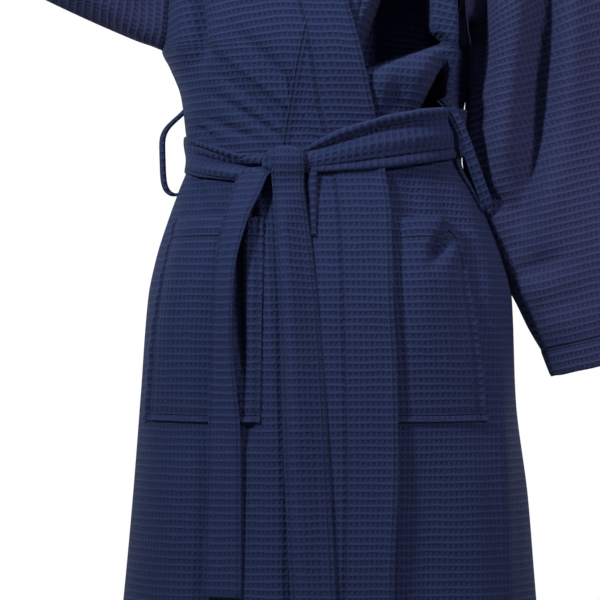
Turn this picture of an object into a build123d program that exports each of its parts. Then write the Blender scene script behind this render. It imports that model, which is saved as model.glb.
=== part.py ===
from build123d import *
from math import acos, atan2, cos, copysign, hypot, pi, radians, sin
import os

# Waffle-weave kimono bathrobe, tied shut, in the shape that a wearer gives it. Millimetres.
# +X is the wearer's left, the front faces -Y and +Z is up. The origin is the middle of the
# hang loop's lower edge, inside the back of the neck.

# ---- cloth ----
CLOTH = 2.0            # one layer of waffle cloth
DOUBLE = 4.0           # two layers, as in the bands, cuffs and belt
SEAM = 1.0             # how far a doubled band reaches inside the single cloth beside it
LOOP_TAPE = 2.5        # strap of the belt loops
HANGER_TAPE = 2.0      # strap of the hang loop
LABEL = 0.8
LABEL_GAP = 0.2

# ---- trunk ----
AXIS_Y = -70.0         # plane of the side seams and shoulder seams
HEM_Z = -1200.0
COLLAR_TOP = 62.0      # height of the standing collar behind the neck
SQUARENESS = 2.3       # exponent of the trunk's cross-sections: 2 is an ellipse
ARMHOLE_X = 178.0      # the armhole edges lie in the planes x = +-ARMHOLE_X
ARMHOLE_TOP = -50.0
ARMHOLE_BOTTOM = -284.0
RIM = 6.0              # height over which a panel widens from the armhole to the side seam

# height, right half width, left half width, front depth, back depth
TRUNK = [
    (HEM_Z, 285, 286, 188, 172),
    (-980, 262, 268, 172, 160),
    (-870, 252, 259, 166, 156),
    (-740, 242, 243, 158, 150),
    (-610, 232, 238, 150, 140),
    (-560, 222, 226, 142, 133),
    (-500, 203, 204, 130, 120),
    (-470, 192, 190, 124, 112),
    (-430, 179, 172, 118, 104),
    (-390, 183, 172, 120, 103),
    (-345, 189, 178, 126, 104),
    (-306, 204, 185, 130, 106),
    (ARMHOLE_BOTTOM, 214, 190, 131, 108),
    (-222, 214, 196, 126, 108),
    (-150, 211, 199, 114, 102),
    (-90, 204, 196, 98, 94),
    (ARMHOLE_TOP, 186, 186, 84, 88),
    (-36, 163, 163, 78, 86),
    (-22, 134, 134, 72, 84),
    (-10, 106, 106, 66, 82),
    (0, 84, 84, 62, 80),
    (COLLAR_TOP, 76, 76, 50, 72),
]

# ---- front edges: height, x ----
RIGHT_FREE = [(HEM_Z, 78), (-980, 79), (-820, 84), (-690, 82), (-612, 78), (-505, 75), (-443, 68),
              (-377, 57), (-305, 43), (-222, 22), (-160, 5), (-120, -8), (-60, -30), (0, -52),
              (30, -63), (COLLAR_TOP, -75)]
RIGHT_STITCH = [(HEM_Z, 15), (-960, 18), (-841, 19), (-676, 17), (-527, 12), (-447, 4), (-388, -8),
                (-338, -17), (-296, -23), (-232, -36), (-180, -52), (-120, -68), (-60, -79),
                (-22, -84), (0, -84)]
LEFT_FREE = [(HEM_Z, -82), (-700, -76), (-500, -68), (-430, -60), (-377, -52), (-300, -40),
             (-222, -22), (-160, -5), (-120, 8), (-60, 30), (0, 52), (30, 63), (COLLAR_TOP, 75)]
LEFT_STITCH = [(HEM_Z, -18), (-700, -12), (-500, -4), (-430, 4), (-377, 12), (-300, 26),
               (-232, 40), (-180, 52), (-120, 68), (-60, 79), (-22, 84), (0, 84)]
LAP_HIGH = DOUBLE + 0.5  # how far the right front stands off the form above the belt
LAP_LOW = LAP_HIGH + 3.0 # the same over the skirt, where the left pocket lies under it
LAP_CHANGE = (-448.0, -490.0)
LAP_START, LAP_FULL = radians(150), radians(116)   # angles between which it comes away

# ---- pockets ----
POCKET_TOP, POCKET_BOTTOM = -506.0, -768.0
POCKET_BULGE = 17.0
POCKET_GAP = 0.4
RIGHT_POCKET_INNER = [(POCKET_BOTTOM, -82), (POCKET_TOP, -78)]
RIGHT_POCKET_OUTER = [(POCKET_BOTTOM, -233), (-650, -222), (-570, -208), (POCKET_TOP, -190)]
LEFT_POCKET_INNER = [(POCKET_BOTTOM, 38), (POCKET_TOP, 30)]
LEFT_POCKET_OUTER = [(POCKET_BOTTOM, 199), (-673, 190), (-604, 178), (-545, 166), (POCKET_TOP, 150)]
LEFT_POCKET_FREE = 92.0   # the left pocket lies flat under the lap up to here
TACK_LENGTH, TACK_HEIGHT, TACK_DEPTH = 9.0, 2.4, 6.0

# ---- belt ----
BELT_TOP, BELT_BOTTOM = -404.0, -456.0
BELT_IN_BACK = CLOTH + 1.4   # belt's inner face off the form at the back and sides
BELT_IN_FRONT = LAP_HIGH + DOUBLE - SEAM + 0.9   # and over the lapped front
KNOT_X, KNOT_Z = -53.0, -430.0
KNOT_SIZE = (56.0, 30.0, 50.0)
KNOT_SINK = 0.6        # how deep the knot grips the belt
TAIL_TOP = -465.0      # the tails start just below the knot
# tails' inner face off the form: height, distance
TAIL_CLEAR = LAP_LOW + 2 * CLOTH + POCKET_GAP + 2.1
CENTRE_TAIL_OFF = [(-1040, TAIL_CLEAR - 1), (TAIL_TOP, TAIL_CLEAR)]
RIGHT_TAIL_OFF = [(-990, TAIL_CLEAR), (-790, TAIL_CLEAR), (-700, TAIL_CLEAR + 0.47 * POCKET_BULGE),
                  (-640, TAIL_CLEAR + 0.765 * POCKET_BULGE), (-545, TAIL_CLEAR + POCKET_BULGE),
                  (-506, TAIL_CLEAR + POCKET_BULGE), (TAIL_TOP, TAIL_CLEAR + 0.12 * POCKET_BULGE)]
# height, right edge, left edge
RIGHT_TAIL = [(-990, -161, -112), (-800, -155, -111), (-651, -149, -121), (-586, -147, -119),
              (-490, -132, -86), (TAIL_TOP, -116, -78)]
CENTRE_TAIL = [(-1040, -46, 12), (-1002, -48, 10), (-820, -57, 1), (-651, -62, -10),
               (-540, -68, -22), (TAIL_TOP, -72, -32)]

# ---- belt loops: side, half spacing of the ends, stand-off, strap width, plane in y ----
RIGHT_LOOP = (-1, 54.0, 36.0, 7.0, AXIS_Y - 4)
LEFT_LOOP = (1, 52.0, 15.0, 11.0, AXIS_Y - 34)
LOOP_Z = -421.0
LOOP_GAP = 0.3         # between a strap's sewn ends and the cloth

# ---- sleeves: centre x and z, half height, tilt of the section, half depth ----
SHOULDER_X, SHOULDER_Z = 200.0, -105.0
RIGHT_HEAD = [(-268, -138, 116, 10, 72), (-360, -103, 106, 20, 68)]
RIGHT_TUBE = [(-360, -103, 106, 20, 68), (-500, -52, 102, 20, 66), (-718, 27, 97, 20, 62)]
RIGHT_CUFF_END = (-764, 44, 96, 20, 62)
LEFT_HEAD = [(264, -168, 104, -45, 74), (298, -290, 96, -76.6, 70)]
LEFT_TUBE = [(298, -290, 96, -76.6, 70), (340, -467, 97, -76.6, 68), (381, -643, 98, -76.6, 64)]
LEFT_CUFF_END = (392, -690, 98, -76.6, 64)
BODY_GAP = 0.5         # gap between pieces that move apart

# ---- hang loop and labels ----
HANGER_WIDTH = 9.0
HANGER_HALF = 32.0     # half the distance between its sewn ends
NECK_LABEL = (26.0, -46.0, -14.0)      # half width, bottom, top
CARE_LABEL = (150.0, 190.0, -668.0, -610.0)   # inner and outer x, bottom, top

# Pieces that lie on each other share these heights, so that their faces run alike.
POCKET_LEVELS = [POCKET_BOTTOM, POCKET_BOTTOM + 14, POCKET_BOTTOM + 50, -640, -590, -545,
                 POCKET_TOP]
BELT_LEVELS = [BELT_BOTTOM, (BELT_BOTTOM * 3 + BELT_TOP) / 4, (BELT_BOTTOM + BELT_TOP) / 2,
               (BELT_BOTTOM + BELT_TOP * 3) / 4, BELT_TOP]
CARE_LEVELS = [CARE_LABEL[2], CARE_LABEL[3]]
NECK_LEVELS = [NECK_LABEL[1], -30, NECK_LABEL[2]]
TRUNK_LEVELS = sorted({HEM_Z, -1130, -1055, -980, -925, -870, -810, -690, -485, -385, -365, -345,
                       -322, -306, ARMHOLE_BOTTOM - RIM, ARMHOLE_BOTTOM, -250, -222, -186, -150,
                       -120, -90, -70, ARMHOLE_TOP, ARMHOLE_TOP + RIM, -36, -22, -10, 0,
                       *POCKET_LEVELS, *BELT_LEVELS, *CARE_LEVELS, *NECK_LEVELS})
COLLAR_LEVELS = [0, 16, 32, 46, 57]


def along(table, z, column=1):
    """Smooth value of a table's column at height z, with no overshoot between its rows."""
    rows = sorted(table)
    z = min(max(z, rows[0][0]), rows[-1][0])
    k = max(i for i in range(len(rows) - 1) if rows[i][0] <= z)
    steps = [(b[column] - a[column]) / (b[0] - a[0]) for a, b in zip(rows, rows[1:])]

    def slope(i):
        if i in (0, len(rows) - 1):
            return steps[min(i, len(steps) - 1)]
        before, after = steps[i - 1], steps[i]
        return 0 if before * after <= 0 else 2 * before * after / (before + after)

    gap = rows[k + 1][0] - rows[k][0]
    t = (z - rows[k][0]) / gap
    low, high = rows[k][column], rows[k + 1][column]
    return (low * (1 + 2 * t) * (1 - t) ** 2 + high * t * t * (3 - 2 * t)
            + gap * (slope(k) * t * (1 - t) ** 2 - slope(k + 1) * t * t * (1 - t)))


def ease(value, start, end):
    """0 at start, 1 at end, smooth between."""
    t = min(max((value - start) / (end - start), 0), 1)
    return t * t * (3 - 2 * t)


def form(z, angle, off, side):
    """Point of the trunk's form, off millimetres outside it. The angle runs from the left
    side seam, 0, over the front (side -1) or back (side 1) to the right side seam, pi."""
    c, s = cos(angle), sin(angle)
    half = along(TRUNK, z, 2 if c > 0 else 1) + off
    depth = along(TRUNK, z, 3 if side < 0 else 4) + off
    return (half * copysign(abs(c) ** (2 / SQUARENESS), c),
            AXIS_Y + side * depth * abs(s) ** (2 / SQUARENESS), z)


def angle_at(z, x, off):
    half = along(TRUNK, z, 2 if x > 0 else 1) + off
    c = min(abs(x) / half, 1) ** (SQUARENESS / 2)
    return acos(copysign(c, x))


def row(z, x_from, x_to, side, off, count):
    """Points along the form at height z, with off a function of the angle and height."""
    ends = []
    for x in (x_from, x_to):
        angle = angle_at(z, x, 0)
        for _ in range(3):
            angle = angle_at(z, x, off(angle, z))
        ends.append(angle)
    angles = [ends[0] + (ends[1] - ends[0]) * k / (count - 1) for k in range(count)]
    return [form(z, a, off(a, z), side) for a in angles]


def plate(levels, span, side, inner, outer, count=11):
    """Curved plate on the form: span gives its two edges in x at each height."""
    wires = []
    for z in sorted(levels):
        x_from, x_to = span(z)
        outside = row(z, x_from, x_to, side, outer, count)
        inside = row(z, x_from, x_to, side, inner, count)
        wires.append(Wire([Spline(*outside), Line(outside[-1], inside[-1]),
                           Spline(*inside[::-1]), Line(inside[0], outside[0])]))
    return Solid.make_loft(wires, ruled=True)


def lap(angle, z):
    """Inner face of the right front: on the form at its side seam, lifted over the left front."""
    height = LAP_HIGH + (LAP_LOW - LAP_HIGH) * ease(z, *LAP_CHANGE)
    return height * ease(angle, LAP_START, LAP_FULL)


def flat(off):
    return lambda angle, z: off


def over(surface, off):
    return lambda angle, z: surface(angle, z) + off


def side_edge(z, side):
    """x of a panel's outer edge: the side seam, or the armhole's plane beside the armhole."""
    if ARMHOLE_BOTTOM <= z <= ARMHOLE_TOP:
        return side * ARMHOLE_X
    return side * along(TRUNK, z, 1 if side < 0 else 2)


def outer_side(z, side):
    """Edge of a panel as its span gives it: past the seam, twice the half width, or the armhole."""
    edge = side_edge(z, side)
    return edge if abs(edge) == ARMHOLE_X else 2 * edge


def back_panel():
    return plate(TRUNK_LEVELS, lambda z: (outer_side(z, 1), outer_side(z, -1)),
                 1, flat(0), flat(CLOTH), 19)


def right_front():
    levels = [z for z in TRUNK_LEVELS if z < -9]
    return plate(levels, lambda z: (along(RIGHT_STITCH, z), outer_side(z, -1)),
                 -1, lap, over(lap, CLOTH), 13)


def left_front():
    levels = [z for z in TRUNK_LEVELS if z < -9]
    return plate(levels, lambda z: (outer_side(z, 1), along(LEFT_STITCH, z)),
                 -1, flat(0), flat(CLOTH), 13)


def front_band(free, stitch, side, surface):
    """Doubled band from the hem up one front edge and round to the side of the neck."""
    levels = TRUNK_LEVELS[:-1] + COLLAR_LEVELS

    def span(z):
        seam = side * 200 if z > -1 else along(stitch, z)
        edges = (seam, along(free, z))
        return edges if side > 0 else edges[::-1]

    return plate(levels, span, -1, over(surface, -SEAM), over(surface, DOUBLE - SEAM), 7)


def back_neck_band():
    return plate(COLLAR_LEVELS, lambda z: (200, -200), 1, flat(-SEAM), flat(DOUBLE - SEAM), 15)


def pocket(inner_edge, outer_edge, surface, bulge_from):
    """Patch pocket: sewn down at its sides and bottom, standing open along its top."""
    def bag(angle, z):
        x = form(z, angle, 0, -1)[0]
        low, high = sorted((bulge_from(z), along(outer_edge, z)), key=abs)
        across = min(max((x - low) / (high - low), 0), 1)
        rise = ease(z, POCKET_BOTTOM + 4, POCKET_BOTTOM + 150)
        return POCKET_BULGE * (0.45 + 0.55 * ease(z, -640, POCKET_TOP)) * rise * \
            min(1, 4.2 * across * (1 - across)) ** 0.8

    base = over(surface, CLOTH + POCKET_GAP)

    def inside(angle, z):
        return base(angle, z) + bag(angle, z)

    def span(z):
        return tuple(sorted((along(inner_edge, z), along(outer_edge, z)), reverse=True))

    heights = [z for z in TRUNK_LEVELS if POCKET_BOTTOM <= z <= POCKET_TOP]
    return plate(heights, span, -1, inside, over(inside, CLOTH), 21)


def tack(z, x, surface):
    """Bar of stitches through a pocket's corner and the panel under it."""
    angle = angle_at(z, x, 0)
    here = form(z, angle, surface(angle, z) + CLOTH, -1)
    there = form(z, angle, surface(angle, z) + CLOTH + 10, -1)
    turn = atan2(there[0] - here[0], here[1] - there[1])
    return Pos(*here) * Rot(0, 0, turn * 180 / pi) * Box(TACK_LENGTH, TACK_DEPTH, TACK_HEIGHT)


def pocket_tacks(inner_edge, outer_edge, surface):
    z = POCKET_TOP - 5
    edges = (along(inner_edge, z), along(outer_edge, z))
    inset = copysign(5, edges[1] - edges[0])
    return [tack(z, edges[0] + inset, surface), tack(z, edges[1] - inset, surface)]


def belt_in(angle, z, side):
    if side > 0:
        return BELT_IN_BACK
    lifted = ease(angle, LAP_START, LAP_FULL) * ease(angle, radians(28), radians(58))
    return BELT_IN_BACK + (BELT_IN_FRONT - BELT_IN_BACK) * lifted


def belt_waist():
    """The belt round the waist, as one closed hoop."""
    def hoop(z, extra):
        points = []
        for k in range(36):
            turn = 2 * pi * k / 36
            side = -1 if turn < pi else 1
            angle = turn if side < 0 else 2 * pi - turn
            points.append(form(z, angle, belt_in(angle, z, side) + extra, side))
        return Wire([Spline(*points, periodic=True)])

    inside = [hoop(z, 0) for z in BELT_LEVELS]
    outside = [hoop(z, DOUBLE) for z in BELT_LEVELS]
    return Solid.make_loft(outside, ruled=True) - Solid.make_loft(inside, ruled=True)


def front_y(z, x, off):
    return form(z, angle_at(z, x, off), off, -1)[1]


def belt_knot():
    width, depth, height = KNOT_SIZE
    y = front_y(KNOT_Z, KNOT_X, BELT_IN_FRONT + DOUBLE) + KNOT_SINK - depth / 2
    block = Pos(KNOT_X, y, KNOT_Z) * Box(width, depth, height)
    return fillet(block.edges(), 9)


def belt_tail(table, off):
    """Doubled strip that hangs from the knot down the front of the skirt."""
    wires = []
    bottom, top = table[0][0], table[-1][0]
    count = 14
    for k in range(count + 1):
        z = bottom + (top - bottom) * k / count
        right, left = along(table, z, 1), along(table, z, 2)
        near = [(x, front_y(z, x, along(off, z)), z) for x in (right, left)]
        far = [(x, y - DOUBLE, z) for x, y, z in near]
        wires.append(Wire.make_polygon([near[0], near[1], far[1], far[0]]))
    return Solid.make_loft(wires, ruled=True)


def side_x(z, y, off, side):
    """x of the trunk's side at height z and depth y."""
    half = along(TRUNK, z, 1 if side < 0 else 2) + off
    depth = along(TRUNK, z, 3) + off
    return half * (1 - (abs(y - AXIS_Y) / depth) ** SQUARENESS) ** (1 / SQUARENESS)


def belt_loop(side, half_height, stand_off, width, y):
    """Strap sewn to the side seam above and below the belt."""
    top, bottom = LOOP_Z + half_height, LOOP_Z - half_height
    foot = 9.0
    reach = side_x(LOOP_Z, y, BELT_IN_FRONT, side) + stand_off
    off = CLOTH + LOOP_GAP
    inner = [(side_x(z, y + width / 2, off, side), z)
             for z in (top, top - foot, bottom + foot, bottom)]
    inner[2:2] = [(reach, LOOP_Z + half_height * k) for k in (0.45, -0.45)]
    outer = [(x + LOOP_TAPE, z + LOOP_TAPE * k)
             for (x, z), k in zip(inner, (0, 0.9, 0.5, -0.5, -0.9, 0))]
    outline = [(side * x, y - width / 2, z) for x, z in inner + outer[::-1]]
    return extrude(Face(Wire.make_polygon(outline)), width, dir=(0, 1, 0))


def ring(place, count, grow, rim=None):
    """Closed section of a sleeve. With rim, its points face those of the armhole's rim."""
    x, z, height, tilt, depth = place
    up = (sin(radians(tilt)), cos(radians(tilt)))
    up = up if x < 0 else (-up[0], up[1])
    turns = [2 * pi * k / count for k in range(count)] if rim is None else rim
    return [(x + up[0] * (height + grow) * sin(t), AXIS_Y + (depth + grow) * cos(t),
             z + up[1] * (height + grow) * sin(t)) for t in turns]


def tube(places, start_gap=0.0, inner=0.0, outer=CLOTH):
    """Open cloth tube along a sleeve, its faces inner and outer off the sections."""
    def skin(grow):
        wires = []
        for number, place in enumerate(places):
            points = ring(place, 20, grow)
            if number == 0 and start_gap:
                step = places[1][0] - place[0], places[1][1] - place[1]
                length = hypot(*step)
                move = start_gap / length
                points = [(px + step[0] * move, py, pz + step[1] * move) for px, py, pz in points]
            wires.append(Wire([Spline(*points, periodic=True)]))
        return Solid.make_loft(wires, ruled=True)
    return skin(outer) - skin(inner)


def sleeve_head(places, side):
    """Cloth between the armhole and the sleeve's tube, which creases as the arm moves."""
    levels = [z for z in TRUNK_LEVELS if ARMHOLE_BOTTOM <= z <= ARMHOLE_TOP]

    def rim(off):
        points = []
        for face in (-1, 1):
            for z in levels[::-face]:
                angle = angle_at(z, side * ARMHOLE_X, off)
                point = form(z, angle, off, face)
                end = (z == levels[0]) - (z == levels[-1])
                points.append((point[0], point[1], z + end * (CLOTH - off)))
        return points

    middle = ((ARMHOLE_TOP + ARMHOLE_BOTTOM) / 2, (ARMHOLE_TOP - ARMHOLE_BOTTOM) / 2)
    turns = [atan2((z - middle[0]) / middle[1], (y - AXIS_Y) / 74) for _, y, z in rim(CLOTH)]

    def skin(off):
        wires = [Wire.make_polygon(rim(off))]
        for place in places:
            wires.append(Wire.make_polygon(ring(place, 0, off, turns)))
        return Solid.make_loft(wires, ruled=True)
    return skin(CLOTH) - skin(0)


def hang_loop():
    """Strap bowed off the collar's inner face, its ends sewn to the neck seam."""
    wall = [form(HANGER_WIDTH / 2, angle_at(0, x, -SEAM), -SEAM, 1)[1]
            for x in (0, HANGER_HALF)]
    ends = HANGER_HALF + 8
    y_end = form(HANGER_WIDTH / 2, angle_at(0, ends, -SEAM), -SEAM, 1)[1] - 0.1
    y_foot = wall[1] - 0.1
    inner = [(-ends, y_end), (-HANGER_HALF, y_foot - 0.6), (-20, 0), (20, 0),
             (HANGER_HALF, y_foot - 0.6), (ends, y_end)]
    outer = [(x, y - HANGER_TAPE) for x, y in inner]
    outline = [(x, y, 0) for x, y in inner + outer[::-1]]
    return extrude(Face(Wire.make_polygon(outline)), HANGER_WIDTH, dir=(0, 0, 1))


def neck_label():
    half, bottom, top = NECK_LABEL
    levels = [z for z in TRUNK_LEVELS if bottom <= z <= top]
    return plate(levels, lambda z: (half, -half), 1, flat(-LABEL - LABEL_GAP), flat(-LABEL_GAP), 7)


def care_label():
    inner, outer, bottom, top = CARE_LABEL
    levels = [z for z in TRUNK_LEVELS if bottom <= z <= top]
    return plate(levels, lambda z: (outer, inner), 1,
                 flat(-LABEL - LABEL_GAP), flat(-LABEL_GAP), 7)


right_base = lap
left_base = flat(0)

pieces = {
    "back_panel": back_panel(),
    "right_front": right_front(),
    "left_front": left_front(),
    "right_front_band": front_band(RIGHT_FREE, RIGHT_STITCH, -1, lap),
    "left_front_band": front_band(LEFT_FREE, LEFT_STITCH, 1, flat(0)),
    "back_neck_band": back_neck_band(),
    "right_pocket": pocket(RIGHT_POCKET_INNER, RIGHT_POCKET_OUTER, right_base,
                           lambda z: along(RIGHT_POCKET_INNER, z)),
    "left_pocket": pocket(LEFT_POCKET_INNER, LEFT_POCKET_OUTER, left_base,
                          lambda z: LEFT_POCKET_FREE),
    "right_pocket_tacks": pocket_tacks(RIGHT_POCKET_INNER, RIGHT_POCKET_OUTER, right_base),
    "left_pocket_tacks": pocket_tacks(LEFT_POCKET_INNER, LEFT_POCKET_OUTER, left_base),
    "right_belt_loop": belt_loop(*RIGHT_LOOP),
    "left_belt_loop": belt_loop(*LEFT_LOOP),
    "belt_waist": belt_waist(),
    "belt_knot": belt_knot(),
    "belt_right_tail": belt_tail(RIGHT_TAIL, RIGHT_TAIL_OFF),
    "belt_centre_tail": belt_tail(CENTRE_TAIL, CENTRE_TAIL_OFF),
    "hang_loop": hang_loop(),
    "neck_label": neck_label(),
    "care_label": care_label(),
    "right_sleeve_head": sleeve_head(RIGHT_HEAD, -1),
    "left_sleeve_head": sleeve_head(LEFT_HEAD, 1),
    "right_sleeve": tube(RIGHT_TUBE, BODY_GAP),
    "left_sleeve": tube(LEFT_TUBE, BODY_GAP),
    "right_cuff": tube([RIGHT_TUBE[-1], RIGHT_CUFF_END], 0, -SEAM, DOUBLE - SEAM),
    "left_cuff": tube([LEFT_TUBE[-1], LEFT_CUFF_END], 0, -SEAM, DOUBLE - SEAM),
}

os.makedirs("parts", exist_ok=True)
for name, shape in pieces.items():
    solid = Compound(children=shape) if isinstance(shape, list) else shape
    export_step(solid, f"parts/{name}.step")
    print(name, round(solid.volume))
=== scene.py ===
import math

import bpy
import numpy as np
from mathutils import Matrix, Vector


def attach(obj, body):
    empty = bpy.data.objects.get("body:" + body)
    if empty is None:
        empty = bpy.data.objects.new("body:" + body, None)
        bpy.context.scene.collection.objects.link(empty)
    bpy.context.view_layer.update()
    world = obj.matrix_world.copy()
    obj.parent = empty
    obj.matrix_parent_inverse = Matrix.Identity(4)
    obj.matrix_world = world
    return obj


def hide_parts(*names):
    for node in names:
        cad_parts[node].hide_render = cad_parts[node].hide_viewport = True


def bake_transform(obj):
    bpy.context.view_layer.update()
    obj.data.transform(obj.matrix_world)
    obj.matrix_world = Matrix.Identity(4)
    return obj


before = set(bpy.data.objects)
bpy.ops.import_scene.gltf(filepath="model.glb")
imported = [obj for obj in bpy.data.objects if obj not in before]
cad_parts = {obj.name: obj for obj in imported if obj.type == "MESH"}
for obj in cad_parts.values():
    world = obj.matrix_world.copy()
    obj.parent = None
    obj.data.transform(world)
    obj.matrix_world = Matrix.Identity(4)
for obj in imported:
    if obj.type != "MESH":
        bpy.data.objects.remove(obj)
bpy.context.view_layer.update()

# A waffle-weave kimono bathrobe, tied shut. Lengths are millimetres until a mesh is made.
# +X is the wearer's left, the front faces -Y, +Z is up, and the hang loop is the origin.

MM = 0.001

# -------- the robe's form

AXIS_Y = -70.0            # the middle of the trunk, front to back
HEM_Z = -1200.0
COLLAR_TOP = 62.0
SQUARENESS = 2.3          # 2 is an ellipse; more is squarer
CLOTH = 2.0               # one layer
DOUBLE = 4.0              # two layers: bands, cuffs and belt
# height, right half width, left half width, front depth, back depth
TRUNK = np.array([
    (HEM_Z, 285, 286, 188, 172), (-980, 262, 268, 172, 160), (-870, 252, 259, 166, 156),
    (-740, 242, 243, 158, 150), (-610, 232, 238, 150, 140), (-560, 222, 226, 142, 133),
    (-500, 203, 204, 130, 120), (-470, 192, 190, 124, 112), (-430, 179, 172, 118, 104),
    (-390, 183, 172, 120, 103), (-345, 189, 178, 126, 104), (-306, 204, 185, 130, 106),
    (-284, 214, 190, 131, 108), (-222, 214, 196, 126, 108), (-150, 211, 199, 114, 102),
    (-90, 204, 196, 98, 94), (-50, 186, 186, 84, 88), (-36, 163, 163, 78, 86),
    (-22, 134, 134, 72, 84), (-10, 106, 106, 66, 82), (0, 84, 84, 62, 80),
    (COLLAR_TOP, 76, 76, 50, 72)], float)

RIGHT_FREE = [(HEM_Z, 78), (-980, 79), (-820, 84), (-690, 82), (-612, 78), (-505, 75),
              (-443, 68), (-377, 57), (-305, 43), (-222, 22), (-160, 5), (-120, -8), (-60, -30),
              (0, -52), (30, -63), (COLLAR_TOP, -75)]
RIGHT_STITCH = [(HEM_Z, 15), (-960, 18), (-841, 19), (-676, 17), (-527, 12), (-447, 4),
                (-388, -8), (-338, -17), (-296, -23), (-232, -36), (-180, -52), (-120, -68),
                (-60, -79), (-22, -84), (0, -84)]
LEFT_FREE = [(HEM_Z, -82), (-700, -76), (-500, -68), (-430, -60), (-377, -52), (-300, -40),
             (-222, -22), (-160, -5), (-120, 8), (-60, 30), (0, 52), (30, 63), (COLLAR_TOP, 75)]
LEFT_STITCH = [(HEM_Z, -18), (-700, -12), (-500, -4), (-430, 4), (-377, 12), (-300, 26),
               (-232, 40), (-180, 52), (-120, 68), (-60, 79), (-22, 84), (0, 84)]
LAP_HIGH, LAP_LOW = 4.5, 7.5
LAP_CHANGE = (-448.0, -490.0)
LAP_START, LAP_FULL = math.radians(150), math.radians(116)

POCKET_TOP, POCKET_BOTTOM = -506.0, -768.0
POCKET_BULGE = 17.0
POCKET_GAP = 0.4

# armhole seams as the cloth runs: height, x
RIGHT_ARMHOLE = [(-286, -214), (-272, -209), (-245, -206), (-200, -204), (-140, -199),
                 (-90, -190), (-48, -184)]
LEFT_ARMHOLE = [(-286, 190), (-272, 186), (-245, 180), (-200, 177), (-140, 177), (-90, 178),
                (-48, 184)]
ARMHOLE_TOP, ARMHOLE_BOTTOM = -48.0, -286.0
BEYOND_SIDE = 600.0       # an x well past either side seam
SEAM_FADE = 0.09          # radians of the form


def smooth_table(rows, column=1):
    """Dense heights and values of a table's column, smooth between its rows."""
    rows = np.array(sorted(tuple(map(float, r)) for r in rows))
    z, value = rows[:, 0], rows[:, column]
    step = np.diff(value) / np.diff(z)
    slope = np.empty_like(value)
    slope[0], slope[-1] = step[0], step[-1]
    product = step[:-1] * step[1:]
    total = step[:-1] + step[1:]
    slope[1:-1] = np.where(product > 0, 2 * product / np.where(total == 0, 1, total), 0)
    dense = np.linspace(z[0], z[-1], 900)
    k = np.clip(np.searchsorted(z, dense, side="right") - 1, 0, len(z) - 2)
    gap = z[k + 1] - z[k]
    t = (dense - z[k]) / gap
    out = (value[k] * (1 + 2 * t) * (1 - t) ** 2 + value[k + 1] * t * t * (3 - 2 * t)
           + gap * (slope[k] * t * (1 - t) ** 2 - slope[k + 1] * t * t * (1 - t)))
    return dense, out


def curve(rows, column=1):
    """A function that reads a table's column at any heights."""
    dense, out = smooth_table(rows, column)
    return lambda z: np.interp(z, dense, out)


half_right, half_left, depth_front, depth_back = (curve(TRUNK, c) for c in (1, 2, 3, 4))


def ease(value, start, end):
    """0 before start, 1 past end, smooth between them."""
    t = np.clip((value - start) / (end - start), 0, 1)
    return t * t * (3 - 2 * t)


def form(z, angle, off, side):
    """Points of the trunk's form, off outside it. angle 0 is the wearer's left side seam and
    pi the right one, over the front with side -1 or the back with side 1."""
    z, angle, off, side = np.broadcast_arrays(z, angle, off, side)
    c, s = np.cos(angle), np.sin(angle)
    half = np.where(c > 0, half_left(z), half_right(z)) + off
    depth = np.where(side < 0, depth_front(z), depth_back(z)) + off
    x = half * np.sign(c) * np.abs(c) ** (2 / SQUARENESS)
    y = AXIS_Y + side * depth * np.abs(s) ** (2 / SQUARENESS)
    return np.stack([x, y, z], -1)


def angle_at(z, x, off=0.0):
    """The form's angle at an x, for form()."""
    half = np.where(np.asarray(x) > 0, half_left(z), half_right(z)) + off
    c = np.clip(np.abs(x) / half, 0, 1) ** (SQUARENESS / 2)
    return np.arccos(np.sign(x) * c)


def lap(angle, z):
    """Inner face of the right front over the form."""
    height = LAP_HIGH + (LAP_LOW - LAP_HIGH) * ease(z, *LAP_CHANGE)
    return height * ease(angle, LAP_START, LAP_FULL)


def on_form(angle, z):
    """Inner face of the pieces that lie on the form itself."""
    return 0.0 * angle


# -------- folds

def bell(value, middle, width):
    return np.exp(-((value - middle) / width) ** 2)


def fold_height(x, z, folds):
    """Sum of the folds at front-view points. A fold is a path of (x, z) points, its width, its
    height (below 0 for a valley) and, where one flank is steeper, its lean. It fades out at
    both ends."""
    total = np.zeros(np.broadcast(x, z).shape)
    for path, width, height, *lean in folds:
        path = np.array(path, float)
        lengths = np.hypot(*np.diff(path, axis=0).T)
        whole = lengths.sum()
        nearest = np.full(total.shape, 1e9)
        place = np.zeros(total.shape)
        side = np.zeros(total.shape)
        done = 0.0
        for a, b, length in zip(path, path[1:], lengths):
            d = (b - a) / length
            t = np.clip((x - a[0]) * d[0] + (z - a[1]) * d[1], 0, length)
            dx, dz = x - (a[0] + d[0] * t), z - (a[1] + d[1] * t)
            far = np.hypot(dx, dz)
            closer = far < nearest
            nearest = np.where(closer, far, nearest)
            place = np.where(closer, (done + t) / whole, place)
            side = np.where(closer, np.sign(dx * d[1] - dz * d[0]), side)
            done += length
        fade = np.sin(np.pi * np.clip(place, 0.02, 0.98)) ** 0.6
        reach = width * (1 + sum(lean) * side)
        total += height * fade * bell(nearest, 0, reach)
    return total


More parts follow.
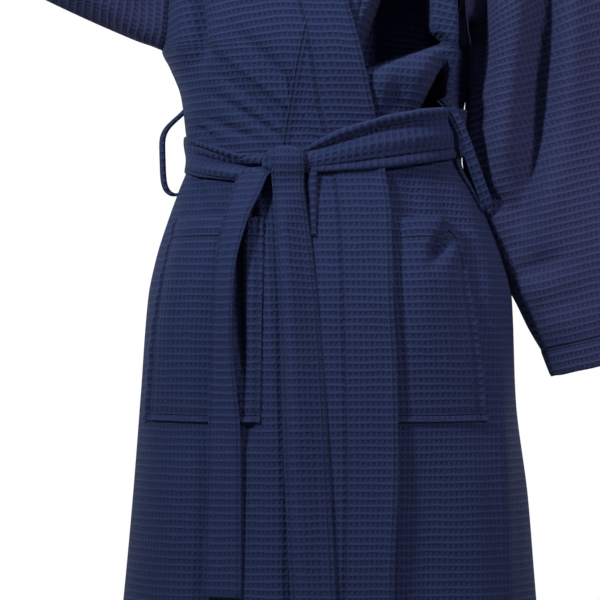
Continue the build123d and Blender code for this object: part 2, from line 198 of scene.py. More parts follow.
# valleys and ridges of the panels, seen from the front: the belt's pull, and soft drops below
RIGHT_FRONT_FOLDS = [
    ([(-172, -205), (-169, -250), (-165, -312)], 11, -16),
    ([(-186, -215), (-185, -262), (-190, -300)], 9, 4),
    ([(-152, -288), (-118, -318), (-79, -349), (-39, -381), (-16, -406)], 7, -11, 0.3),
    ([(-148, -314), (-116, -340), (-82, -366), (-50, -394)], 6, -7),
    ([(-150, -344), (-112, -368), (-76, -392), (-50, -408)], 5.5, -7),
    ([(-166, -372), (-130, -389), (-92, -405)], 5, -6),
    ([(-122, -262), (-82, -300), (-42, -340), (-16, -374)], 9, -7),
    ([(-134, -300), (-100, -329), (-60, -364), (-30, -394)], 8, 6),
    ([(-172, -384), (-160, -395), (-146, -408)], 5, -9),
    ([(-168, -452), (-163, -470), (-162, -492)], 6, -5),
    ([(-110, -452), (-108, -470), (-110, -490)], 6, -4),
    ([(-96, -478), (-108, -540), (-112, -620), (-108, -700), (-100, -790)], 9, -18),
    ([(-28, -455), (-24, -560), (-27, -700), (-22, -900), (-20, -1190)], 16, -6),
    ([(-78, -468), (-72, -600), (-70, -800), (-66, -1190)], 15, 5),
    ([(-200, -800), (-206, -950), (-212, -1190)], 34, 7),
    ([(-140, -790), (-150, -960), (-152, -1190)], 30, -7),
]
LEFT_FRONT_FOLDS = [
    ([(148, -120), (152, -200), (156, -270), (162, -350)], 9, 12),
    ([(128, -300), (112, -330), (96, -362)], 14, 9),
    ([(74, -318), (70, -345), (62, -376)], 11, 6),
    ([(185, -190), (184, -260), (176, -330), (172, -372)], 13, -26),
    ([(96, -450), (118, -520), (134, -600)], 12, -6),
    ([(132, -452), (168, -520), (182, -600)], 12, -5),
    ([(172, -470), (200, -560), (214, -660), (222, -800), (232, -1180)], 14, 5),
    ([(120, -800), (128, -960), (134, -1190)], 26, -7),
    ([(178, -800), (192, -960), (200, -1190)], 28, 7),
]


def chest_hollow(x, z):
    """The left front caves in beside the lap, above a slack roll of cloth over the belt, and
    again in a wedge beside the armhole."""
    lip = -316 + (x - 61) * 0.36
    lap_side = 64 + (z + 222) * 0.41
    far_side = 143 - 15 * ease(z, -278, -258)
    across = ease(x, lap_side - 10, lap_side + 6) * (1 - ease(x, far_side, far_side + 11))
    up = ease(z, lip - 3, lip + 12) * (1 - ease(z, -150, -90))
    roll = 10 * bell(z - lip, -18, 19) * ease(x, 44, 70) * (1 - ease(x, 120, 150))
    wedge_side = 146 + (z + 306) * 0.58
    wedge = (ease(x, wedge_side - 5, wedge_side + 6) * (1 - ease(x, 146, 154))
             * (1 - ease(z, -322, -298)) * ease(z, -400, -374))
    room = (1 - np.clip(x / 178, 0, 0.99) ** SQUARENESS) ** (1 / SQUARENESS)
    return roll - (128 * across * up + 84 * wedge) * room


BACK_FOLDS = [
    ([(-60, -462), (-72, -640), (-90, -900), (-104, -1190)], 24, -9),
    ([(66, -460), (82, -640), (96, -900), (112, -1190)], 26, -9),
    ([(0, -470), (4, -700), (2, -1190)], 32, 8),
    ([(-150, -480), (-172, -760), (-190, -1190)], 26, 7),
    ([(156, -480), (176, -760), (196, -1190)], 26, 7),
    ([(-30, -392), (-44, -330), (-70, -250)], 14, -5),
    ([(40, -392), (58, -320), (86, -240)], 14, -5),
    ([(-110, -392), (-126, -330), (-142, -270)], 12, 4),
    ([(118, -392), (130, -330), (140, -270)], 12, 4),
]


# -------- mesh making

def grid_normals(points, closed=False):
    """Unit normals of a grid of points, rows along axis 0."""
    if closed:
        across = np.roll(points, -1, 1) - np.roll(points, 1, 1)
    else:
        across = np.gradient(points, axis=1)
    along = np.gradient(points, axis=0)
    normal = np.cross(across, along)
    length = np.linalg.norm(normal, axis=-1, keepdims=True)
    return normal / np.maximum(length, 1e-9)


def soften(rows, rounds):
    """Moves each row but the first and last towards its neighbours."""
    for _ in range(rounds):
        rows[1:-1] = (rows[:-2] + 2 * rows[1:-1] + rows[2:]) / 4
    return rows


def evenly(rows, count, rounds, places=3):
    """Rows at even steps along the given ones, softened. The first places columns say where
    a row is."""
    rows = np.array(rows, float)
    steps = np.linalg.norm(np.diff(rows[:, :places], axis=0), axis=1)
    length = np.concatenate([[0], np.cumsum(steps)])
    even = np.linspace(0, length[-1], count)
    return soften(np.stack([np.interp(even, length, column) for column in rows.T], -1), rounds)


def lengths_along(points, axis):
    """Running length of a grid's lines along an axis."""
    step = np.linalg.norm(np.diff(points, axis=axis), axis=-1)
    pad = [(0, 0), (0, 0)]
    pad[axis] = (1, 0)
    return np.pad(np.cumsum(step, axis=axis), pad)


def cells(index):
    """Corner numbers of each cell of a numbered grid."""
    corners = [index[:-1, :-1], index[:-1, 1:], index[1:, 1:], index[1:, :-1]]
    return np.stack(corners, -1).reshape(-1, 4)


def add_object(name, data):
    made = bpy.data.objects.new(name, data)
    bpy.context.collection.objects.link(made)
    return made


def cloth_mesh(name, points, weave, material, thickness, closed=False, flip=False, smooth=0):
    """Cloth from a grid of points in mm, with its weave coordinates in mm, given a thickness
    on the side away from its outer face."""
    rows, cols = points.shape[:2]
    index = np.arange(rows * cols).reshape(rows, cols)
    if closed:
        index = np.concatenate([index, index[:, :1]], axis=1)
    flat = weave.reshape(rows, -1, 2) * MM
    wide = flat.shape[1]
    order = slice(None, None, -1 if flip else 1)
    quads = cells(index)[:, order]
    corner = cells(np.arange(rows * wide).reshape(rows, wide))[:, order]
    mesh = bpy.data.meshes.new(name)
    mesh.from_pydata((points.reshape(-1, 3) * MM).tolist(), [], quads.tolist())
    layer = mesh.uv_layers.new(name="weave")
    layer.data.foreach_set("uv", flat.reshape(-1, 2)[corner.reshape(-1)].astype("f").ravel())
    mesh.shade_smooth()
    piece = add_object(name + "_sewn", mesh)
    mesh.materials.append(material)
    if thickness:
        solid = piece.modifiers.new("thickness", "SOLIDIFY")
        solid.thickness = thickness * MM
        solid.offset = -1
        solid.use_quality_normals = True
    if smooth:
        rounding = piece.modifiers.new("rounding", "SUBSURF")
        rounding.levels = rounding.render_levels = smooth
    return piece


def panel_grid(z_values, x_from, x_to, side, off, cols, folds, extra=None):
    """Grid on the form between two edges. x_from and x_to give x at each height; a value
    beyond the side stands for the side seam. extra(x, z) moves the cloth straight forward."""
    z = np.asarray(z_values, float)[:, None]
    start, stop = angle_at(z, x_from(z)), angle_at(z, x_to(z))
    share = np.linspace(0, 1, cols)[None, :]
    angle = start + (stop - start) * share
    rest = form(z, angle, off(angle, z), side)
    height = fold_height(rest[..., 0], rest[..., 2], folds)
    # under the arm the folds die out at the side seam, where front and back are sewn together
    from_seam = np.minimum(angle, np.pi - angle)
    under_arm = 1 - ease(z, ARMHOLE_BOTTOM - 6, ARMHOLE_BOTTOM)
    height = height * (1 - under_arm * bell(from_seam, 0, SEAM_FADE))
    points = form(z, angle, off(angle, z) + height, side)
    if extra:
        points[..., 1] -= extra(rest[..., 0], rest[..., 2])
    return points, rest


def weave_from(rest):
    """Weave coordinates of a panel: across from its first edge, and up."""
    return np.stack([lengths_along(rest, 1), lengths_along(rest, 0)], -1)


def tube_weave(rings):
    """Weave coordinates of a tube: round each ring, and down its length."""
    closed = np.concatenate([rings, rings[:, :1]], 1)
    round_length = lengths_along(closed, 1)
    down = lengths_along(closed, 0).mean(1, keepdims=True)
    return np.stack([round_length, down + 0 * round_length], -1)


def heights(bottom, top, step):
    return np.linspace(bottom, top, int(round((top - bottom) / step)) + 1)


# -------- materials

def node(tree, kind, **settings):
    made = tree.nodes.new(kind)
    for key, value in settings.items():
        setattr(made, key, value)
    return made


def set_inputs(made, **values):
    for label, value in values.items():
        made.inputs[label.replace("_", " ")].default_value = value


def feed(tree, target, source):
    """Links an output, or sets a plain value."""
    if isinstance(source, bpy.types.NodeSocket):
        tree.links.new(source, target)
    else:
        target.default_value = source


def maths(tree, operation, a, b=0.0, c=0.0):
    made = node(tree, "ShaderNodeMath", operation=operation)
    for target, source in zip(made.inputs, (a, b, c)):
        feed(tree, target, source)
    return made.outputs[0]


def new_group(name, inputs, outputs):
    """An empty node group. Its sockets are numbers, but for Weave, a place on the cloth."""
    tree = bpy.data.node_groups.new(name, "ShaderNodeTree")
    for direction, labels in (("INPUT", inputs), ("OUTPUT", outputs)):
        for label in labels:
            kind = "NodeSocketVector" if label == "Weave" else "NodeSocketFloat"
            tree.interface.new_socket(label, in_out=direction, socket_type=kind)
    return tree, node(tree, "NodeGroupInput").outputs, node(tree, "NodeGroupOutput").inputs


def remap(tree, value, low, high, to_low=0.0, to_high=1.0):
    made = node(tree, "ShaderNodeMapRange", interpolation_type="SMOOTHSTEP")
    for label, source in zip(("Value", "From Min", "From Max", "To Min", "To Max"),
                             (value, low, high, to_low, to_high)):
        feed(tree, made.inputs[label], source)
    return made.outputs[0]


def mix_colours(tree, share, low, high):
    made = node(tree, "ShaderNodeMix", data_type="RGBA")
    for label, source in (("Factor", share), ("A", low), ("B", high)):
        feed(tree, made.inputs[label], source)
    return made.outputs["Result"]


def put_bump(tree, shader, height, distance):
    bump = node(tree, "ShaderNodeBump")
    bump.inputs["Distance"].default_value = distance
    tree.links.new(height, bump.inputs["Height"])
    tree.links.new(bump.outputs[0], shader.inputs["Normal"])


def new_material(name, roughness, sheen=0.0):
    """A material, its node tree and its shader."""
    material = bpy.data.materials.new(name)
    material.use_nodes = True
    shader = material.node_tree.nodes["Principled BSDF"]
    set_inputs(shader, Roughness=roughness, Sheen_Weight=sheen)
    return material, material.node_tree, shader


def noise(tree, vector, scale, detail):
    made = node(tree, "ShaderNodeTexNoise", noise_dimensions="3D")
    set_inputs(made, Scale=scale, Detail=detail)
    tree.links.new(vector, made.inputs["Vector"])
    return made.outputs


def vector_maths(tree, operation, a, b):
    made = node(tree, "ShaderNodeVectorMath", operation=operation)
    feed(tree, made.inputs[0], a)
    feed(tree, made.inputs[1], b)
    return made.outputs[0]


def from_middle(tree, value, size):
    """How far a value is from the middle of its repeat, as a share of the repeat's size."""
    part = maths(tree, "FRACT", maths(tree, "DIVIDE", value, size))
    return maths(tree, "ABSOLUTE", maths(tree, "SUBTRACT", part, 0.5))


# metres
CELL_WIDE, CELL_HIGH, WEAVE_DRIFT = 0.0067, 0.0096, 0.0034
STITCH_LONG, GROOVE_WIDE, THREAD_HALF = 0.0034, 0.0022, 0.00045


def waffle_group():
    """Raised square frames of yarn round sunken cells, with the yarn's own twist."""
    tree, given, out = new_group("waffle weave", ["Weave"], ["Height", "Yarn", "Tone"])
    drift = noise(tree, given["Weave"], 34.0, 2.0)
    centred = vector_maths(tree, "SUBTRACT", drift["Color"], (0.5, 0.5, 0.5))
    shift = vector_maths(tree, "MULTIPLY", centred, (WEAVE_DRIFT,) * 3)
    axes = node(tree, "ShaderNodeSeparateXYZ")
    feed(tree, axes.inputs[0], vector_maths(tree, "ADD", given["Weave"], shift))
    frames = [maths(tree, "MULTIPLY", from_middle(tree, axes.outputs[axis], size), 2.0)
              for axis, size in (("X", CELL_WIDE), ("Y", CELL_HIGH))]
    upright = remap(tree, frames[0], 0.12, 0.95)
    level = remap(tree, frames[1], 0.2, 0.95)
    height = maths(tree, "SMOOTH_MAX", maths(tree, "MULTIPLY", upright, 0.7), level, 0.35)
    tree.links.new(height, out["Height"])
    tree.links.new(noise(tree, given["Weave"], 480.0, 3.0)[0], out["Yarn"])
    tree.links.new(noise(tree, given["Weave"], 5.0, 4.0)[0], out["Tone"])
    return tree


def topstitch_group():
    """One row of stitches: a puckered groove with dashes of thread in it."""
    tree, given, out = new_group("topstitch", ["Across", "Along", "Row"], ["Groove", "Thread"])
    gap = maths(tree, "ABSOLUTE", maths(tree, "SUBTRACT", given["Across"], given["Row"]))
    groove = remap(tree, gap, 0.0, GROOVE_WIDE, 1.0, 0.0)
    length = maths(tree, "LESS_THAN", from_middle(tree, given["Along"], STITCH_LONG), 0.36)
    line = maths(tree, "LESS_THAN", gap, THREAD_HALF)
    tree.links.new(groove, out["Groove"])
    tree.links.new(maths(tree, "MULTIPLY", length, line), out["Thread"])
    return tree


WAFFLE = waffle_group()
TOPSTITCH = topstitch_group()


def placed(tree, group, **values):
    made = node(tree, "ShaderNodeGroup")
    made.node_tree = group
    for label, source in values.items():
        feed(tree, made.inputs[label], source)
    return made.outputs


SEWN_THREAD = (0.028, 0.04, 0.11)


def waffle_cloth(name, ridge, hollow_shaded, rows=(), depth=0.0019):
    """Waffle cotton, from the colour of its raised yarn to a darker colour painted into its sunken
    cells as painted shade. rows are stitch
    rows: ("across" or "along", its place in metres), their grooves also painted darker as painted
    shade. depth is the bump's, in metres."""
    material, tree, shader = new_material(name, 0.93, 0.06)
    set_inputs(shader, Specular_IOR_Level=0.12, Sheen_Roughness=0.55,
               Sheen_Tint=(0.45, 0.5, 0.8, 1))
    weave = node(tree, "ShaderNodeUVMap", uv_map="weave").outputs[0]
    axes = node(tree, "ShaderNodeSeparateXYZ")
    tree.links.new(weave, axes.inputs[0])
    cloth = placed(tree, WAFFLE, Weave=weave)
    height = maths(tree, "ADD", cloth["Height"], maths(tree, "MULTIPLY", cloth["Yarn"], 0.4))
    grain_and_painted_shade = maths(tree, "ADD", maths(tree, "MULTIPLY", cloth["Height"], 0.62),
                  maths(tree, "MULTIPLY", cloth["Yarn"], 0.6))
    grain_and_painted_shade = maths(tree, "MULTIPLY", grain_and_painted_shade, remap(tree, cloth["Tone"], 0.3, 0.7, 0.86, 1.08))
    thread = 0.0
    for axis, place in rows:
        pair = ("X", "Y") if axis == "across" else ("Y", "X")
        row = placed(tree, TOPSTITCH, Across=axes.outputs[pair[0]], Along=axes.outputs[pair[1]],
                     Row=place)
        height = maths(tree, "SUBTRACT", height, maths(tree, "MULTIPLY", row["Groove"], 0.9))
        # the groove darkens the colour as well: painted shade in the stitch line
        grain_and_painted_shade = maths(tree, "MULTIPLY", grain_and_painted_shade, maths(
            tree, "SUBTRACT", 1.0, maths(tree, "MULTIPLY", row["Groove"], 0.5)))
        thread = maths(tree, "MAXIMUM", thread, row["Thread"])
    # the sunken cells get the darker hollow colour, painted shade, with the yarn's grain and random
    # tone mixed in
    colour = mix_colours(tree, grain_and_painted_shade, (*hollow_shaded, 1), (*ridge, 1))
    if rows:
        colour = mix_colours(tree, thread, colour, (*SEWN_THREAD, 1))
    tree.links.new(colour, shader.inputs["Base Color"])
    put_bump(tree, shader, height, depth)
    return material


# ridges take the cloth's colour; the darker hollow colours are painted shade in the weave's sunken
# cells
RIDGE = (0.0315, 0.047, 0.138)
# sleeves and cuffs: a lighter, purpler copy of the same cloth's colours, a painted highlight
SLEEVE_RIDGE_LIT = (0.044, 0.052, 0.142)
HOLLOW_SHADED = (0.0122, 0.0168, 0.049)
BELT_HOLLOW_SHADED = (0.014, 0.019, 0.057)
SLEEVE_HOLLOW_LIT_SHADED = (0.017, 0.021, 0.06)
BAND_WIDE = 65.0
BELT_WIDE = 54.0
HEM_ROW = 0.022

PANEL_CLOTH = waffle_cloth("waffle cotton, panels", RIDGE, HOLLOW_SHADED, [("along", HEM_ROW)])
SLEEVE_CLOTH = waffle_cloth("waffle cotton, sleeves", SLEEVE_RIDGE_LIT, SLEEVE_HOLLOW_LIT_SHADED, depth=0.0015)
BAND_CLOTH = waffle_cloth("waffle cotton, bands", RIDGE, HOLLOW_SHADED,
                          [("across", 0.004), ("across", BAND_WIDE * MM - 0.003)])
BELT_CLOTH = waffle_cloth("waffle cotton, belt", RIDGE, BELT_HOLLOW_SHADED,
                          [("across", 0.005), ("across", BELT_WIDE * MM - 0.005)], 0.0017)
CUFF_CLOTH = waffle_cloth("waffle cotton, cuffs", SLEEVE_RIDGE_LIT, HOLLOW_SHADED,
                          [("along", 0.003), ("along", 0.044)])
POCKET_CLOTH = waffle_cloth("waffle cotton, pockets", RIDGE, HOLLOW_SHADED,
                            [("across", 0.006), ("across", 0.149), ("along", 0.007),
                             ("along", 0.238)])


def plain_cloth(name, colour, scale, roughness):
    """Close-woven tape, thread or label cloth with a fine crossing weave."""
    material, tree, shader = new_material(name, roughness, 0.15)
    weave = node(tree, "ShaderNodeUVMap", uv_map="weave").outputs[0]
    lines = []
    for direction in ("X", "Y"):
        wave = node(tree, "ShaderNodeTexWave", wave_type="BANDS", bands_direction=direction)
        set_inputs(wave, Scale=scale, Distortion=0.6)
        tree.links.new(weave, wave.inputs["Vector"])
        lines.append(wave.outputs["Fac"])
    height = maths(tree, "MAXIMUM", *lines)
    # the weave's low lines are painted darker than its raised ones: painted shade
    low_lines_shaded = [channel * 0.55 for channel in colour]
    mixed = mix_colours(tree, height, (*low_lines_shaded, 1), (*colour, 1))
    tree.links.new(mixed, shader.inputs["Base Color"])
    put_bump(tree, shader, height, 0.0003)
    return material


TAPE = plain_cloth("twill tape", (0.03, 0.042, 0.12), 260.0, 0.8)
THREAD = plain_cloth("sewing thread", (0.022, 0.03, 0.09), 420.0, 0.6)
LABEL_CLOTH = plain_cloth("blank satin label", (0.62, 0.62, 0.6), 500.0, 0.5)


def finish_piece(piece, body, nodes):
    """Attaches the piece to its body and hides the CAD nodes it stands for."""
    if body:
        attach(piece, body)
    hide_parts(*nodes)


# -------- camera and lights

VIEW_X, VIEW_Z = -36.4, -612.0
VIEW_PLANE_Y, VIEW_DISTANCE, VIEW_WIDE = -130.0, 5000.0, 780.0
AMBIENT = 0.02            # light from the white surround, seen at 1
FLOOR_REACH, FLOOR_Z = 2.3, -1.6


def make_camera():
    lens = bpy.data.cameras.new("camera")
    camera = add_object("camera", lens)
    lens.sensor_width = 36.0
    lens.lens = 36.0 * VIEW_DISTANCE / VIEW_WIDE
    camera.location = Vector((VIEW_X, VIEW_PLANE_Y - VIEW_DISTANCE, VIEW_Z)) * MM
    camera.rotation_euler = (math.radians(90), 0, 0)
    bpy.context.scene.camera = camera


def area_light(name, place, target, size, power, colour=(1, 1, 1), spread=180.0):
    lamp = bpy.data.lights.new(name, "AREA")
    lamp.shape = "DISK"
    lamp.size = size
    lamp.energy = power
    lamp.spread = math.radians(spread)
    lamp.color = colour
    made = add_object(name, lamp)
    made.location = place
    made.rotation_euler = (Vector(target) - Vector(place)).to_track_quat("-Z", "Y").to_euler()


def make_studio():
    middle = (0, -0.15, -0.6)
    area_light("key", (-2.5, -2.5, 1.5), (-0.1, -0.1, -0.2), 0.45, 8.2, (0.88, 0.98, 1.0), 46.0)
    area_light("right fill", (2.6, -2.9, 1.0), (0.42, -0.1, -0.35), 0.6, 3.3,
               (1.0, 0.88, 0.93), 40.0)
    area_light("front fill", (-0.3, -4.6, -0.5), middle, 1.6, 1.4)
    area_light("top", (0.2, -0.9, 2.0), middle, 1.0, 10)
    area_light("overhead", (0, 0.2, 3.4), (0, 0.2, 0), 4.5, 52)
    area_light("rim", (1.8, 2.3, 0.3), middle, 1.2, 34)
    area_light("back fill", (-2.0, 2.6, -0.2), middle, 1.4, 30)
    floor = bpy.data.meshes.new("floor")
    corners = [(a * FLOOR_REACH, b * FLOOR_REACH, FLOOR_Z)
               for a, b in ((-1, -1), (1, -1), (1, 1), (-1, 1))]
    floor.from_pydata(corners, [], [(0, 1, 2, 3)])
    paint, _, shader = new_material("pale floor", 0.8)
    set_inputs(shader, Base_Color=(0.86, 0.86, 0.86, 1))
    floor.materials.append(paint)
    add_object("floor", floor)
    world = bpy.data.worlds.new("studio")
    bpy.context.scene.world = world
    world.use_nodes = True
    tree = world.node_tree
    back = tree.nodes["Background"]
    set_inputs(back, Color=(1, 1, 1, 1), Strength=AMBIENT)
    seen = node(tree, "ShaderNodeBackground")
    set_inputs(seen, Color=(1, 1, 1, 1), Strength=1.0)
    choose = node(tree, "ShaderNodeMixShader")
    path = node(tree, "ShaderNodeLightPath")
    tree.links.new(path.outputs["Is Camera Ray"], choose.inputs[0])
    tree.links.new(back.outputs[0], choose.inputs[1])
    tree.links.new(seen.outputs[0], choose.inputs[2])
    tree.links.new(choose.outputs[0], tree.nodes["World Output"].inputs["Surface"])
    bpy.context.scene.view_settings.view_transform = "Standard"


make_camera()
make_studio()

# -------- trunk panels

right_free, right_stitch = curve(RIGHT_FREE), curve(RIGHT_STITCH)
left_free, left_stitch = curve(LEFT_FREE), curve(LEFT_STITCH)
right_armhole, left_armhole = curve(RIGHT_ARMHOLE), curve(LEFT_ARMHOLE)


def side_edge(side):
    """x of a panel's outer edge: the armhole seam, or well past the side seam elsewhere."""
    seam = right_armhole if side < 0 else left_armhole
    return lambda z: np.where((z > ARMHOLE_BOTTOM) & (z < ARMHOLE_TOP), seam(z),
                              side * BEYOND_SIDE)


def upright(x):
    """A straight edge."""
    return lambda z: x + 0 * z


def over(surface, off):
    """A surface a distance outside another."""
    return lambda angle, z: surface(angle, z) + off


TRUNK_STEP = 4.0
trunk_z = np.unique(np.concatenate([heights(HEM_Z, -8, TRUNK_STEP),
                                    [ARMHOLE_BOTTOM - 1, ARMHOLE_BOTTOM + 1]]))


def make_panel(name, z, edges, side, surface, cols, folds, extra=None):
    points, rest = panel_grid(z, *edges, side, over(surface, CLOTH), cols, folds, extra)
    panel = cloth_mesh(name, points, weave_from(rest), PANEL_CLOTH, CLOTH,
                       flip=(name == "left_front"))
    finish_piece(panel, "robe", [name])


def make_band(name, free, stitch, side, surface, folds):
    """Doubled front band from the hem to the side of the neck."""
    z = np.concatenate([heights(HEM_Z, -6, 6), heights(0, COLLAR_TOP - 4, 4)])
    share = np.linspace(0, 1, 22)[None, :]

    def seam(values):
        return np.where(values > -1, side * BEYOND_SIDE, stitch(values))

    def lifted(angle, height):
        free_edge = 4.5 * bell(share, 0, 0.16) * ease(height, -60, -140)
        seam_edge = -0.9 * bell(share, 0.96, 0.03)
        return surface(angle, height) + DOUBLE - 1 + free_edge + seam_edge

    points, rest = panel_grid(z, free, seam, -1, lifted, 22, folds)
    across = np.broadcast_to(share * BAND_WIDE, points.shape[:2])
    weave = np.stack([across, lengths_along(rest, 0)], -1)
    band = cloth_mesh(name, points, weave, BAND_CLOTH, DOUBLE, flip=(side > 0), smooth=1)
    finish_piece(band, "robe", [name])


def make_collar():
    z = heights(0, COLLAR_TOP - 4, 4)
    points, rest = panel_grid(z, upright(-BEYOND_SIDE), upright(BEYOND_SIDE), 1,
                              over(on_form, DOUBLE - 1), 60, [])
    weave = np.stack([lengths_along(rest, 0) + 4, lengths_along(rest, 1)], -1)
    collar = cloth_mesh("back_neck_band", points, weave, BAND_CLOTH, DOUBLE, smooth=1)
    finish_piece(collar, "robe", ["back_neck_band"])


make_panel("right_front", trunk_z, (lambda z: right_stitch(z) + 3, side_edge(-1)), -1, lap,
           120, RIGHT_FRONT_FOLDS)
make_panel("left_front", trunk_z, (lambda z: left_stitch(z) - 3, side_edge(1)), -1, on_form,
           130, LEFT_FRONT_FOLDS, chest_hollow)
make_panel("back_panel", np.append(trunk_z, 0.0), (side_edge(-1), side_edge(1)), 1, on_form,
           100, BACK_FOLDS)
make_band("right_front_band", right_free, right_stitch, -1, lap, RIGHT_FRONT_FOLDS)
make_band("left_front_band", left_free, left_stitch, 1, on_form, LEFT_FRONT_FOLDS)
make_collar()

# -------- pockets

def front_y(z, x, off):
    """y of the form's front, off outside it."""
    return form(z, angle_at(z, x, off), off, -1)[..., 1]


POCKET_FLAT = 0.155, 0.262
TACK_INSET, TACK_OFF = 5, 4.8     # from the pocket's edges, and proud of the panel
TACK_HALF, TACK_TURNS, TACK_THREAD = 4.5, 73, 0.42


def make_pocket(name, side, inner, outer, surface, free_edge=None):
    """Patch pocket: sewn down at its sides and bottom, gaping along its hemmed top."""
    inner_x, outer_x = curve(inner), curve(outer)
    z = heights(POCKET_BOTTOM, POCKET_TOP, 3)[:, None]
    share = np.linspace(0, 1, 76)[None, :]
    x = inner_x(z) + (outer_x(z) - inner_x(z)) * share
    angle = angle_at(z, x)
    free = free_edge if free_edge else inner_x(z)
    span = np.clip((x - free) / (outer_x(z) - free), 0, 1)
    rise = ease(z, POCKET_BOTTOM + 4, POCKET_BOTTOM + 150)
    belly = np.minimum(1, 4.2 * span * (1 - span)) ** 0.8
    bag = POCKET_BULGE * (0.45 + 0.55 * ease(z, -640, POCKET_TOP)) * rise * belly
    # seam pucker beside the stitching, a soft hem roll and a few slack folds
    seam = np.minimum(share, 1 - share) * 150
    pucker = 0.7 * np.sin(z / 5.2) * bell(seam, 0, 9)
    roll = 1.5 * bell(z - POCKET_TOP, -13, 10)
    slack = fold_height(x, z + 0 * x, POCKET_FOLDS[name])
    low = (z - POCKET_BOTTOM) + 0 * x
    rim = 2.6 * (bell(seam, 0, 4.5) + bell(low, 0, 5.0))
    groove = -1.6 * (bell(seam, 8, 2.6) + bell(low, 9, 3))
    off = (surface(angle, z) + CLOTH + POCKET_GAP + bag + CLOTH + pucker + roll + slack * rise
           + rim + groove)
    points = form(z, angle, off, -1)
    rest = form(z, angle, surface(angle, z) + CLOTH + bag, -1)
    weave = np.stack([share * np.ones_like(z) * POCKET_FLAT[0] / MM, lengths_along(rest, 0)], -1)
    piece = cloth_mesh(name, points, weave, POCKET_CLOTH, CLOTH, flip=(side > 0))
    finish_piece(piece, "robe", [name])
    top = POCKET_TOP - TACK_INSET
    middle = (inner_x(top) + outer_x(top)) / 2
    for number, edge in enumerate((inner_x, outer_x)):
        x = edge(top) + (TACK_INSET if edge(top) < middle else -TACK_INSET)
        turn = angle_at(top, x)
        outside = surface(turn, top) + CLOTH + TACK_OFF
        place = form(top, turn, outside, -1)
        beside = form(top, angle_at(top, x + 4), outside, -1)
        bar_tack(f"{name}_tack_{number}", place, beside, f"{name}_tacks")


def bar_tack(name, place, beside, cad_node):
    """Close zigzag of thread, 9 mm long, across a pocket's corner."""
    run = (beside - place) / np.linalg.norm(beside - place)
    t = np.linspace(-TACK_HALF, TACK_HALF, TACK_TURNS)
    line = place[None, :] + run[None, :] * t[:, None]
    line[:, 2] += 1.0 * np.where(np.arange(TACK_TURNS) % 2, 1, -1)
    line[:, 1] -= 0.4
    ring_angles = np.linspace(0, 2 * np.pi, 6, endpoint=False)
    out = np.array([run[1], -run[0], 0.0])
    ring = (np.cos(ring_angles)[:, None] * out
            + np.sin(ring_angles)[:, None] * np.array([0, 0, 1.0]))
    points = line[:, None, :] + TACK_THREAD * ring[None]
    weave = np.stack(np.broadcast_arrays(np.linspace(0, 2.6, 7)[None, :], t[:, None]), -1)
    tack = cloth_mesh(name, points, weave, THREAD, 0, closed=True)
    finish_piece(tack, "robe", [cad_node])


RIGHT_POCKET_INNER = [(POCKET_BOTTOM, -82), (POCKET_TOP, -78)]
RIGHT_POCKET_OUTER = [(POCKET_BOTTOM, -233), (-650, -222), (-570, -208), (POCKET_TOP, -190)]
LEFT_POCKET_INNER = [(POCKET_BOTTOM, 38), (POCKET_TOP, 30)]
LEFT_POCKET_OUTER = [(POCKET_BOTTOM, 199), (-673, 190), (-604, 178), (-545, 166),
                     (POCKET_TOP, 150)]
LEFT_POCKET_FREE = 92.0
POCKET_FOLDS = {
    "right_pocket": [([(-98, -490), (-109, -540), (-112, -620), (-108, -700), (-100, -790)],
                      9, -24),
                     ([(-180, -530), (-190, -610), (-206, -700)], 16, 3)],
    "left_pocket": [([(154, -500), (141, -530), (124, -564)], 10, -24),
                    ([(110, -510), (112, -590), (120, -690)], 14, 3),
                    ([(150, -540), (160, -620), (170, -720)], 14, -3)],
}


# -------- belt

BELT_IN_BACK, BELT_IN_FRONT = 3.4, 8.4
# belt's edges on the front, from the wearer's right to left: x, bottom, top
BELT_EDGES = [(-186, -443, -396), (-155, -452, -407), (-103, -457, -426), (-75, -450, -427),
              (-31, -447, -420), (13, -445, -396), (62, -441, -378), (103, -435, -369),
              (147, -428, -364), (176, -421, -364)]
BELT_FOLDS = [
    # gathers on the wearer's right, running into the knot
    ([(-178, -420), (-150, -430), (-118, -439), (-92, -440), (-62, -439)], 4.5, -13),
    ([(-176, -404), (-138, -418), (-98, -431), (-66, -432)], 6, 7),
    ([(-176, -436), (-150, -444), (-110, -450), (-84, -446), (-62, -443)], 5, 7),
    ([(-184, -408), (-160, -414), (-130, -426), (-104, -433)], 3.5, -6),
    ([(-114, -456), (-106, -449), (-98, -444)], 4, -3),
    ([(-128, -437), (-104, -441), (-84, -441), (-58, -440)], 3.6, -13),
    # fan on the wearer's left
    ([(-34, -422), (12, -399), (62, -381), (106, -372), (160, -367)], 4.2, 9),
    ([(-36, -424), (-4, -415), (24, -405), (60, -392)], 3.6, -13),
    ([(10, -412), (64, -392), (108, -384), (150, -380)], 5.5, -6),
    ([(-28, -437), (20, -422), (70, -411), (120, -402), (170, -396)], 9, 6),
    ([(-26, -441), (24, -437), (80, -429), (130, -421), (172, -413)], 2.6, -5),
    ([(-26, -446), (24, -443), (80, -436), (130, -428), (172, -420)], 3, 4),
]


